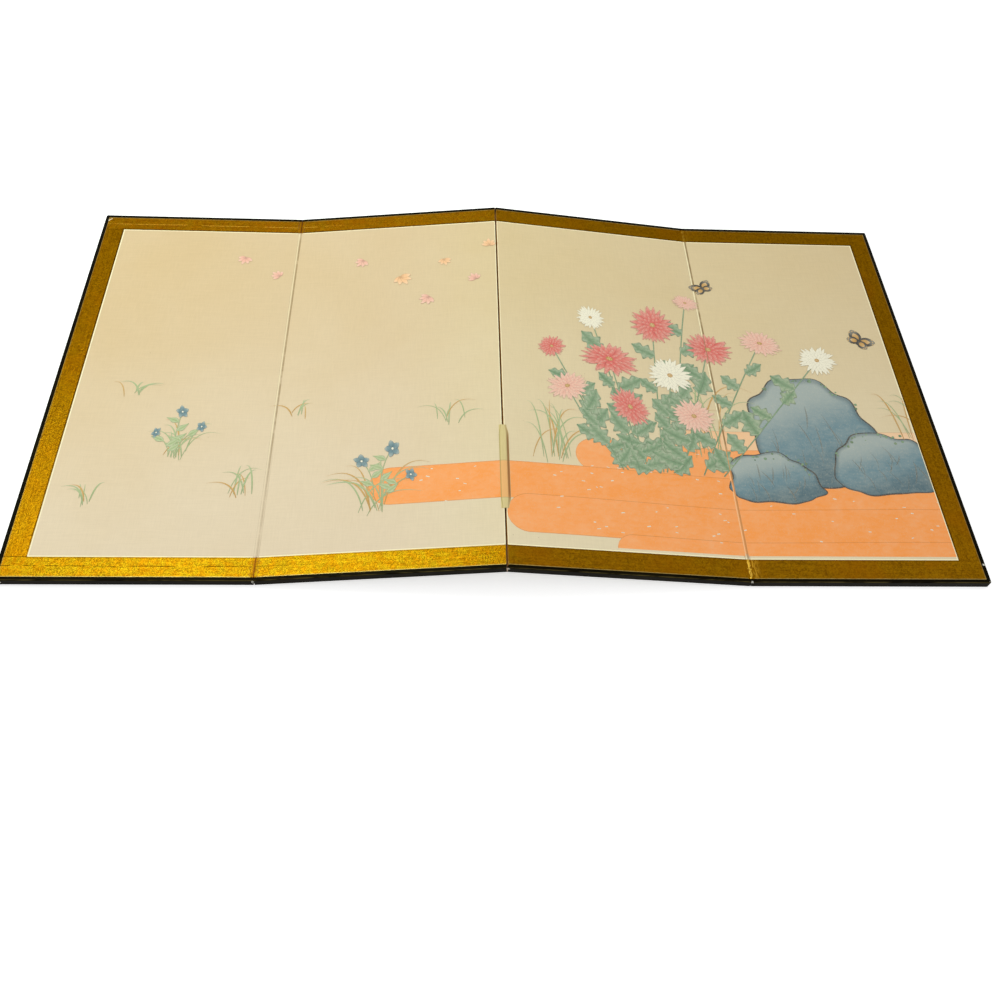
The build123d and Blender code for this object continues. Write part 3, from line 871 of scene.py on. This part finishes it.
def arch_finish(settings, silk):
    """Bare hinge paper arched over the middle fold: pale, olive at its left edge, with a brown stain and
    painted shadow at its right.
    """
    finish = Finish("hinge_arch")
    across = finish.attribute("across")
    fibre = finish.noise(1.0, (400, 40, 400), detail=4)
    end = abs(finish.y + ARCH_DROP).step(0.055, 0.09)
    # Painted shadow with some stain: the brown line along the arch's right side, fainter towards its ends.
    right = across.step(0.56, 0.74) * across.step(1.0, 0.93)
    colour = finish.coats(
        settings.lip, (fibre.step(0.3, 0.7) * 0.5, LIP_FIBRE),
        (finish.attribute("cover") * 0.5, finish.attribute("pigment", "Color")),
        (across.step(0.2, 0.05) * 0.6, LIP_OLIVE), (right * (0.8 - end * 0.45), LIP_STAIN_AND_SHADOW),
        (across.step(0.93, 1.0) * 0.8, silk.stain),
    )
    finish.bump(fibre, 0.1 * MM)
    return finish.set(Base_Color=colour, Roughness=0.82)


def back_finish(settings):
    """Covering paper stencilled with a repeat of four-petalled flowers inside lozenges."""
    finish = Finish("back_paper")
    across, up = finish.x / settings.repeat, finish.y / settings.repeat
    halfway = (across.math("FLOOR") * 0.5).math("FRACT")
    column = across.math("FRACT") - 0.5
    row = (up + halfway).math("FRACT") - 0.5
    reach = (column * column + row * row) ** 0.5
    petal = abs((row.math("ARCTAN2", column) * 2).math("COSINE")) * 0.26 + 0.1
    flower, heart = (petal - reach).step(0, 0.03), (0.07 - reach).step(0, 0.02)
    lozenge = (abs(column) + abs(row) - 0.47).step(-0.02, 0.0)
    lozenge = lozenge * (0.5 - abs(column) - abs(row)).step(-0.01, 0.01)
    stencil = (flower - heart).most(lozenge) * finish.noise(160.0).step(0.3, 0.55)
    fibre = finish.noise(1.0, (90, 900, 90))
    colour = finish.coats(
        settings.back, (fibre.step(0.35, 0.7) * 0.3, BACK_FIBRE),
        (finish.noise(5.0, detail=4).step(0.45, 0.75) * 0.35, BACK_STAIN), (stencil * 0.75, settings.stencil),
    )
    finish.bump(fibre, 0.08 * MM)
    return finish.set(Base_Color=colour, Roughness=0.82)


def paper_finish(name, colour, darker, lip=None):
    """Long-fibred mulberry paper; lip is the colour of what lies above the silk of panel 2."""
    finish = Finish(name)
    fibre = finish.noise(1.0, (300, 120, 300), detail=4, distortion=1.0)
    shade = finish.blend(fibre.step(0.35, 0.7) * 0.6, colour, darker)
    if lip:
        plane = SILK[1]
        above = finish.measure("DOT_PRODUCT", plane.normal) - float(plane.left @ plane.normal)
        shade = finish.blend(above.step(0.05 * MM, 0.15 * MM), shade, lip)
    finish.bump(fibre, 0.06 * MM)
    return finish.set(Base_Color=shade, Roughness=0.86, Specular_IOR_Level=0.02)


def wood_finish(name, colour, grain):
    """Planed softwood with straight grain; grain gives the stretch of the pattern on each axis."""
    finish = Finish(name)
    rings = finish.noise(1.0, grain, detail=5, roughness=0.6)
    finish.bump(rings, 0.08 * MM)
    return finish.set(
        Base_Color=finish.blend(rings.step(0.4, 0.65), colour, shaded(colour, 0.6)),
        Roughness=0.6 + rings * 0.15,
    )


def nail_finish():
    finish = Finish("nail_steel")
    rust = finish.noise(400.0)
    shade = finish.blend(rust.step(0.45, 0.7), STEEL, RUST)
    return finish.set(Base_Color=shade, Metallic=1 - rust.step(0.5, 0.7), Roughness=0.4 + rust * 0.3)


def paint_finish(silk):
    """Mineral pigment on silk: darker where it pools at an outline, grained by brush and weave."""
    finish = Finish("mineral_pigment")
    pigment = finish.attribute("pigment", "Color")
    tone, edge, cover = (finish.attribute(name) for name in ("tone", "edge", "cover"))
    brush = finish.noise(1.0, (70, 150, 70), detail=4, distortion=0.6)
    weave = finish.noise(1.0, (600, 260, 600), detail=2)
    dark = finish.blend(1.0, pigment, (0.52, 0.5, 0.5), "MULTIPLY")
    light = finish.blend(0.42, pigment, (0.93, 0.86, 0.7))
    colour = finish.coats(
        dark, (tone.step(0, 0.5), pigment), (tone.step(0.5, 1.0), light),
        ((brush - 0.5) * 0.5 + (finish.noise(26.0) - 0.5) * 0.5 + 0.12, light),
        ((1 - edge.step(0.04, 0.26)) * 0.55, dark), (weave.step(0.52, 0.8) * 0.22, silk.ground),
    )
    finish.bump(brush * 0.6 + weave * 0.4, 0.05 * MM)
    return finish.set(Base_Color=colour, Roughness=0.8, Alpha=cover)


def dress(material, *endings):
    """Gives one material to the CAD nodes whose names end in any of these ways."""
    for name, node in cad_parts.items():
        if name.endswith(endings):
            for slot in node.material_slots:
                slot.link = "OBJECT"
                slot.material = material


# ------------------------------------------------------------------ operators


class SCREEN_OT_rims(Operator):
    """Lacquers the rims"""

    bl_idname = "screen_finish.rims"
    bl_label = "Lacquered Rims"

    def execute(self, context):
        dress(lacquer_finish(context.scene.folding_screen.lacquer), "_rail", "_end_stile")
        return {"FINISHED"}


class SCREEN_OT_covers(Operator):
    """Finishes the silk, the gold border and the back paper"""

    bl_idname = "screen_finish.covers"
    bl_label = "Silk, Border and Back"

    def execute(self, context):
        settings = context.scene.folding_screen
        dress(silk_finish(settings.silk), "_picture_silk")
        dress(brocade_finish(settings.border), "_gold_border")
        dress(back_finish(settings.papers), "_back_paper")
        return {"FINISHED"}


class SCREEN_OT_core(Operator):
    """Finishes the hinge papers, the underlays and the wooden core"""

    bl_idname = "screen_finish.core"
    bl_label = "Papers and Core"

    def execute(self, context):
        papers = context.scene.folding_screen.papers
        darker = shaded(papers.hinge, 0.6)
        lipped = paper_finish("lipped_hinge_paper", papers.hinge, darker, papers.lip)
        dress(paper_finish("hinge_paper", papers.hinge, darker), "_hinge_papers")
        dress(lipped, "panel_2_right_hinge_papers")
        dress(paper_finish("underlay_paper", papers.underlay, shaded(papers.underlay, 0.75)), "_underlay")
        dress(wood_finish("upright_wood", papers.wood, (300, 12, 300)), "_core_stiles", "_tall_bars")
        dress(wood_finish("level_wood", papers.wood, (12, 300, 300)), "_core_rails", "_wide_bars")
        dress(nail_finish(), "_rim_nails")
        paper_finish("side_paper", SIDE_PAPER, darker)
        return {"FINISHED"}


def hazes(pigments):
    """The bands of haze, far to near: start, end, middle height, half height, pigment and tones."""
    right = PICTURE_WIDTH + 0.1
    return (
        (1.10, right, -0.152, 0.026, pigments.peach, (0.6, 0.8)),
        (0.93, right, -0.208, 0.038, pigments.orange, (0.62, 0.54)),
        (0.56, right, -0.276, 0.040, pigments.orange, (0.56, 0.5)),
        (0.80, right, -0.345, 0.040, pigments.orange, (0.58, 0.48)),
        (0.99, right, -0.405, 0.030, pigments.orange, (0.58, 0.46)),
    )


def haze_at(pigments, s, y):
    """The haze's pigment at points of the picture, and 1 where there is any."""
    colour, cover = np.zeros((*s.shape, 3)), np.zeros(s.shape)
    for start, _, middle, half, pigment, _ in hazes(pigments):
        inside = (s > start + half * 0.5) & (abs(y - middle) < half) & (y > MARGIN_FOOT - PICTURE_TOP)
        colour[inside] = pigment
        cover[inside] = 1
    return colour, cover


# Where the papers in the middle fold and on the folding sides end, above the panels' middle
LINING_TOP = 0.4562
SIDE_TOP = 0.449

# How far off the silk's face lie the middle fold's lining, its webs and the sides' linings
LINING_LIFT = -13.7 * MM
WEB_LIFTS = np.linspace(-13.9, -0.5, 9) * MM
SIDE_LIFTS = np.linspace(-13.3, -0.5, 5) * MM

# How wide the covers roll over a fold
FOLD_ROLL = 5.6 * MM


def lay_over_fold(name, left, heights, reach, lift, finish, pigments, narrowing=None):
    """A strip over the fold right of panel left: half its columns on each panel's silk.

    reach is how far it goes onto each panel; lift gives its height over the silk from u, 0 at its
    left edge and 1 at its right one, and v, -1 at its foot and 1 at its head; narrowing gives the
    share of reach that is left at v.  The finishes read across: u where reach is uneven, and else
    the distance from the fold in halves of the roll.
    """
    columns = 13
    v = np.linspace(-1, 1, 65)[None, :]
    y = (heights[0] + heights[1]) / 2 + (heights[1] - heights[0]) / 2 * v
    d = np.concatenate((np.linspace(-reach[0], 0, columns), np.linspace(0, reach[1], columns)))[:, None]
    share = (d + reach[0]) / sum(reach)
    height = lift(share, v)
    if narrowing:
        d = d * narrowing(v)
    d, y, share, height = np.broadcast_arrays(d, y, share, height)
    mesh = span_fold(name, left, (d[:columns], d[columns:]), y, height, finish).data
    colour, cover = haze_at(pigments, SILK[left - 1].end + d, y)
    set_numbers(mesh, "across", share if reach[0] != reach[1] else 2 * d / FOLD_ROLL)
    set_numbers(mesh, "cover", cover)
    set_colours(mesh, "pigment", colour)


def span_fold(name, left, reaches, y, height, finish, turning=None):
    """A grid whose first rows lie on panel left's silk and whose last rows lie on the next panel's.

    reaches holds, for each panel, how far the rows lie past its fold edge; y and height are the
    grid's heights up the silk and off its face.  turning is not used.
    """
    before, after = SILK[left - 1], SILK[left]
    half = len(reaches[0])
    points = np.concatenate((
        before.to_row(before.end + reaches[0], y[:half], height[:half]),
        after.to_row(after.start + reaches[1], y[half:], height[half:]),
    ))
    piece = mesh_object(name, points.reshape(-1, 3), grid_faces(*y.shape), finish)
    ends = [plane.to_row(edge, 0.0, 0.0) for plane, edge in ((before, before.end), (after, after.start))]
    middle, gap = (ends[0] + ends[1]) / 2, np.linalg.norm(ends[1] - ends[0])
    step = (ends[1] - ends[0]) / gap * (turning or gap / 2 + 1.5 * MM)
    f"panel_{left + 1}"
    tuple(middle - step)
    tuple(middle + step)
    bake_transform(piece)
    return piece


class SCREEN_OT_folds(Operator):
    """Rolls the covers over the outer folds and arches a hinge paper over the middle one"""

    bl_idname = "screen_finish.folds"
    bl_label = "Folds"

    def execute(self, context):
        settings = context.scene.folding_screen
        silk, border, pigments = silk_fold_finish(settings.silk), settings.border, settings.pigments
        # The left fold's brocade carries a stain with painted shade; the right fold's carries a painted
        # highlight.
        stained_and_shaded = brocade_fold_finish("brocade_fold", border, FOLD_STAIN_AND_SHADE, 0.6, 1.2, 0.2)
        shining = brocade_fold_finish("brocade_fold_rubbed", border, FOLD_SHINE, 0.9, 0.7, 0.75)
        hinge_paper = bpy.data.materials["hinge_paper"]
        reach = (5 * MM, 5 * MM)

        def roll(base, height):
            return lambda share, v: base + height * hump(2 * share - 1, 0, 0.62)

        silk_roll, brocade_roll = roll(0.02 * MM, 0.38 * MM), roll(0.12 * MM, 0.35 * MM)
        top, rim = PICTURE_TOP, RIM_INSIDE[1]
        for side, left, brocade in (("left", 1, stained_and_shaded), ("right", 3, shining)):
            lay_over_fold(f"{side}_fold_silk", left, (-top, top), reach, silk_roll, silk,
                          pigments)
            for end, heights in (("foot", (-rim, -top)), ("head", (top, rim))):
                lay_over_fold(f"{side}_fold_brocade_{end}", left, heights, reach, brocade_roll, brocade,
                              pigments)

        def arch(share, v):
            end = 1 - smooth(abs(v), 0.7, 1)
            return (0.42 * (1 - share) + 0.05) * MM + (0.1 + 0.9 * end) * MM * np.sin(math.pi * share)

        def narrowing(v):
            return 1 - 0.45 * smooth(abs(v), 0.75, 1)

        def behind(share, v):
            return LINING_LIFT

        lay_over_fold("middle_fold_arch", 2, ARCH_HEIGHTS, (5.6 * MM, 8.6 * MM), arch,
                      arch_finish(settings.papers, settings.silk), pigments, narrowing)
        lay_over_fold("middle_fold_lining", 2, (-LINING_TOP, LINING_TOP), (4 * MM, 4.1 * MM), behind,
                      hinge_paper, pigments)
        height = np.tile(WEB_LIFTS, (2, 1))
        inset = np.full_like(height[:1], -0.04 * MM)
        for end, y in (("foot", -LINING_TOP), ("head", LINING_TOP)):
            span_fold(f"middle_fold_web_{end}", 2, (inset, -inset), np.full_like(height, y), height,
                      hinge_paper, turning=0.3 * MM)
        for plane in SILK:
            for side in ("left", "right"):
                if (plane.panel, side) not in ((PANELS[0], "left"), (PANELS[-1], "right")):
                    self.line_side(plane, side)
        return {"FINISHED"}

    def line_side(self, plane, side):
        """Covers the wood of a folding side between its hinge papers: a sheet 0.2 mm off the core."""
        edge = plane.start + 0.2 * MM if side == "left" else plane.end - 0.2 * MM
        lift, y = np.meshgrid(SIDE_LIFTS, np.linspace(-SIDE_TOP, SIDE_TOP, 41), indexing="ij")
        if side == "right":
            lift = lift[::-1]
        points = plane.to_row(edge, y, lift).reshape(-1, 3)
        sheet = mesh_object(
            node_name(plane.panel, f"{side}_side_lining"), points, grid_faces(*y.shape),
            bpy.data.materials["side_paper"],
        )
        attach(sheet, f"panel_{plane.panel}")


class SCREEN_OT_haze(Operator):
    """Paints the bands of haze"""

    bl_idname = "screen_paint.haze"
    bl_label = "Haze"

    def execute(self, context):
        settings = context.scene.folding_screen
        pigments = settings.pigments
        canvas = Canvas("painted_haze", 0.03 * MM)
        for band in hazes(pigments):
            lay_haze(canvas, *band)
        chance = np.random.default_rng(pigments.seed)
        for _ in range(90):
            s, y = chance.uniform(0.6, PICTURE_WIDTH), chance.uniform(-0.38, -0.18)
            if haze_at(pigments, np.array([s]), np.array([y]))[1][0]:
                tip = (s + chance.uniform(3, 7) * MM, y + chance.uniform(-2, 2) * MM)
                canvas.restart(5)
                lay_ribbon(canvas, curve((s, y), (s, y), tip, 4), chance.uniform(0.7, 1.3) * MM,
                           pigments.shell, tone=0.8, cover=0.8)
        canvas.hang(paint_finish(settings.silk))
        return {"FINISHED"}


class SCREEN_OT_rocks(Operator):
    """Paints the boulders"""

    bl_idname = "screen_paint.rocks"
    bl_label = "Boulders"

    def execute(self, context):
        colours = context.scene.folding_screen.pigments
        chance = np.random.default_rng(colours.seed)
        canvas = Canvas("painted_rocks", 0.06 * MM)
        for centre, size in (
            ((1.395, -0.17), (0.125, 0.17)), ((1.52, -0.225), (0.095, 0.10)),
            ((1.30, -0.255), (0.085, 0.075)),
        ):
            lay_rock(canvas, chance, centre, size, colours.slate, colours.ink, colours.leaf)
        canvas.hang(bpy.data.materials["mineral_pigment"])
        return {"FINISHED"}


class SCREEN_OT_plants(Operator):
    """Paints grasses, leaves and flowers"""

    bl_idname = "screen_paint.plants"
    bl_label = "Plants"

    def execute(self, context):
        colours = context.scene.folding_screen.pigments
        chance = np.random.default_rng(colours.seed)
        foliage = Canvas("painted_foliage", 0.27 * MM)
        flowers = Canvas("painted_flowers", 0.56 * MM)
        self.grasses(foliage, chance, colours)
        self.chrysanthemums(foliage, flowers, chance, colours)
        self.bellflowers(foliage, flowers, chance, colours)
        self.drifting_leaves(flowers, chance, colours)
        flowers.restart()
        lay_butterfly(flowers, (1.24, 0.262), 0.03, 0.5, colours.ink, colours.ochre, colours.ink)
        lay_butterfly(flowers, (1.545, 0.115), 0.034, -0.7, colours.ink, colours.ochre, colours.ink)
        material = bpy.data.materials["mineral_pigment"]
        foliage.hang(material)
        flowers.hang(material)
        return {"FINISHED"}

    def grasses(self, canvas, chance, colours):
        for s, y, count, height, spread in (
            (0.11, -0.055, 7, 0.05, 0.05), (0.20, -0.20, 13, 0.10, 0.08), (0.33, -0.285, 9, 0.08, 0.06),
            (0.415, -0.105, 6, 0.05, 0.05), (0.575, -0.33, 14, 0.13, 0.10), (0.70, -0.14, 8, 0.06, 0.06),
            (0.90, -0.22, 16, 0.15, 0.1), (1.60, -0.14, 12, 0.15, 0.08), (1.19, -0.19, 12, 0.24, 0.12),
            (0.06, -0.30, 7, 0.06, 0.05),
        ):
            canvas.restart()
            for _ in range(count):
                root = np.array((s + chance.normal(0, spread * 0.2), y + chance.normal(0, 0.006)))
                lean = chance.uniform(-1, 1)
                tall = height * chance.uniform(0.5, 1)
                tip = root + (lean * spread, tall * (1 - 0.35 * abs(lean)))
                bend = root + (lean * spread * 0.25, tall * 0.95)
                pigment = colours.sage if chance.uniform() < 0.75 else colours.ochre
                lay_blade(canvas, root, bend, tip, chance.uniform(0.8, 1.5) * MM, pigment)

    def chrysanthemums(self, foliage, flowers, chance, colours):
        blooms = (
            ((1.015, 0.035), 0.060, colours.coral), ((1.115, 0.140), 0.052, colours.coral),
            ((0.925, -0.045), 0.043, colours.rose), ((1.135, 0.005), 0.047, colours.shell),
            ((1.045, -0.085), 0.050, colours.coral), ((1.195, 0.215), 0.030, colours.rose),
            ((0.985, 0.145), 0.034, colours.shell), ((1.225, 0.085), 0.050, colours.coral),
            ((1.335, 0.105), 0.046, colours.rose), ((1.445, 0.060), 0.040, colours.shell),
            ((0.90, 0.055), 0.030, colours.coral), ((1.17, -0.095), 0.044, colours.rose),
        )
        clump = (1.08, -0.235)
        foliage.restart(16)
        for (s, y), _, _ in blooms:
            root = (clump[0] + (s - clump[0]) * 0.35, clump[1])
            stem = curve(root, (0.6 * s + 0.4 * root[0], y - 0.12), (s, y), 24)
            lay_ribbon(foliage, stem, 1.2 * MM, colours.leaf, tone=np.linspace(0.3, 0.7, 24))
            for share in np.arange(0.08, 0.86, 0.13):
                place = stem[int(share * 23)]
                side = 1 if chance.uniform() < 0.5 else -1
                angle = math.pi / 2 + side * chance.uniform(0.5, 1.5)
                length = chance.uniform(0.04, 0.064)
                lay_leaf(foliage, place, angle, length, length * 0.32, colours.leaf, bend=-0.2 * side)
        for number, ((s, y), radius, pigment) in enumerate(blooms):
            flowers.restart(90 * (number % 2))
            squash = (chance.uniform(0, math.pi), chance.uniform(0.68, 1.0))
            lay_chrysanthemum(flowers, chance, (s, y), radius, pigment, colours.ochre, squash)

    def bellflowers(self, foliage, flowers, chance, colours):
        for s, y, root, radius in (
            (0.545, -0.22, 0.57, 0.017), (0.60, -0.195, 0.58, 0.02), (0.635, -0.255, 0.59, 0.015),
            (0.205, -0.095, 0.20, 0.016), (0.245, -0.13, 0.205, 0.013), (0.165, -0.145, 0.195, 0.013),
        ):
            flowers.restart()
            stem = curve((root, -0.3 if s > 0.4 else -0.2), (root, y - 0.03), (s, y), 16)
            lay_ribbon(foliage, stem, 0.8 * MM, colours.sage, tone=0.35)
            for share in (0.3, 0.5, 0.7):
                side = 1 if chance.uniform() < 0.5 else -1
                lay_leaf(foliage, stem[int(share * 15)], math.pi / 2 + side, 0.026, 0.005, colours.sage,
                         lobes=1)
            squash = (chance.uniform(0, math.pi), chance.uniform(0.6, 0.95))
            lay_bellflower(flowers, chance, (s, y), radius, colours.slate, colours.shell, squash)

    def drifting_leaves(self, canvas, chance, colours):
        for s, y, size in (
            (0.52, 0.31, 0.022), (0.60, 0.255, 0.028), (0.69, 0.30, 0.02), (0.66, 0.19, 0.024),
            (0.755, 0.235, 0.02), (0.345, 0.275, 0.02), (0.27, 0.33, 0.022), (0.785, 0.335, 0.022),
        ):
            canvas.restart()
            turn = chance.uniform(0, 2 * math.pi)
            pigment = colours.rose if chance.uniform() < 0.75 else colours.peach
            for lobe in range(5):
                angle = turn + (lobe - 2) * 0.62
                reach = size * (1 - 0.12 * abs(lobe - 2))
                lay_petal(canvas, (s, y), angle, reach, size * 0.2, pigment, root=0.0)


# How far the floor reaches to each side
FLOOR_REACH = 6.0


class SCREEN_OT_stage(Operator):
    """Sets the floor, the soft light and the camera"""

    bl_idname = "screen_stage.stage"
    bl_label = "Stage"

    def execute(self, context):
        self.floor()
        self.world(context.scene)
        self.lamps()
        self.camera(context.scene)
        context.scene.view_settings.view_transform = "Standard"
        return {"FINISHED"}

    def floor(self):
        finish = Finish("pale_floor")
        seen = finish.seen()
        plain = Value(finish, finish.surface.outputs[0])
        finish.set(
            Base_Color=finish.blend(seen, (0.8, 0.8, 0.8), (0.95, 0.95, 0.95)), Roughness=0.9,
            Specular_IOR_Level=0.0,
        )
        glow = finish.add("ShaderNodeEmission", values={"Color": (1, 1, 1), "Strength": 0.52})
        lit = finish.add("ShaderNodeAddShader", values={0: plain, 1: glow})
        mixed = finish.add("ShaderNodeMixShader", values={0: seen, 1: plain, 2: lit})
        finish.links.new(mixed.socket, finish.nodes["Material Output"].inputs["Surface"])
        run = np.linspace(-FLOOR_REACH, FLOOR_REACH, 3)
        x, y = np.meshgrid(run, run, indexing="ij")
        points = np.column_stack((x.ravel(), y.ravel(), np.full(9, CAD_BOX[0].z - 0.1 * MM)))
        mesh_object("floor", points, grid_faces(3, 3), finish.material)

    def world(self, scene):
        sky = Finish("studio", "worlds", "Background")
        scene.world = sky.set(Color=sky.blend(sky.seen(), (0.6, 0.6, 0.6), (1, 1, 1)))

    def lamps(self):
        for name, place, target, size, power, tint in (
            ("front_softbox", (0.7, -2.4, 2.9), (0, 0, 0), (1.8, 1.8), 11.4, (1, 1, 1)),
            ("sheen_softbox", (-1.06, 0.75, 1.9), (-0.5, -0.2, 0), (1.72, 0.7), 22.0, (1, 1.15, 0.9)),
            ("far_softbox", (-1.2, 2.7, 1.9), (-0.5, 0.4, 0), (1.6, 1.0), 1.65, (1, 1, 1)),
        ):
            lamp = bpy.data.lights.new(name, "AREA")
            lamp.shape = "RECTANGLE"
            lamp.size, lamp.size_y = size
            lamp.energy = power
            lamp.color = tint
            holder = bpy.data.objects.new(name, lamp)
            holder.location = place
            holder.rotation_euler = (Vector(target) - Vector(place)).to_track_quat("-Z", "Y").to_euler()
            bpy.context.scene.collection.objects.link(holder)

    def camera(self, scene):
        settings = scene.folding_screen.stage
        camera = bpy.data.objects.new("camera", bpy.data.cameras.new("camera"))
        camera.data.lens = settings.focal_length
        camera.data.sensor_width = 36
        camera.location = settings.camera_place
        camera.rotation_euler = settings.camera_turn
        scene.collection.objects.link(camera)
        scene.camera = camera


OPERATORS = (
    SCREEN_OT_rims, SCREEN_OT_covers, SCREEN_OT_core, SCREEN_OT_folds, SCREEN_OT_haze, SCREEN_OT_rocks,
    SCREEN_OT_plants, SCREEN_OT_stage,
)


class SCREEN_PT_tools(Panel):
    """Lists the screen's operators"""

    bl_idname = "SCREEN_PT_tools"
    bl_label = "Folding Screen"
    bl_space_type = "VIEW_3D"
    bl_region_type = "UI"
    bl_category = "Screen"

    def draw(self, context):
        for operator in OPERATORS:
            self.layout.operator(operator.bl_idname)


SETTINGS = (
    LacquerSettings, BorderSettings, SilkSettings, PaperSettings, PigmentSettings, StageSettings,
    ScreenSettings,
)


def register():
    for item in (*SETTINGS, *OPERATORS, SCREEN_PT_tools):
        bpy.utils.register_class(item)
    bpy.types.Scene.folding_screen = PointerProperty(type=ScreenSettings)


def unregister():
    del bpy.types.Scene.folding_screen
    for item in reversed((*SETTINGS, *OPERATORS, SCREEN_PT_tools)):
        bpy.utils.unregister_class(item)


def main():
    register()
    for operator in OPERATORS:
        group, name = operator.bl_idname.split(".")
        getattr(getattr(bpy.ops, group), name)()


if __name__ == "__main__":
    main()
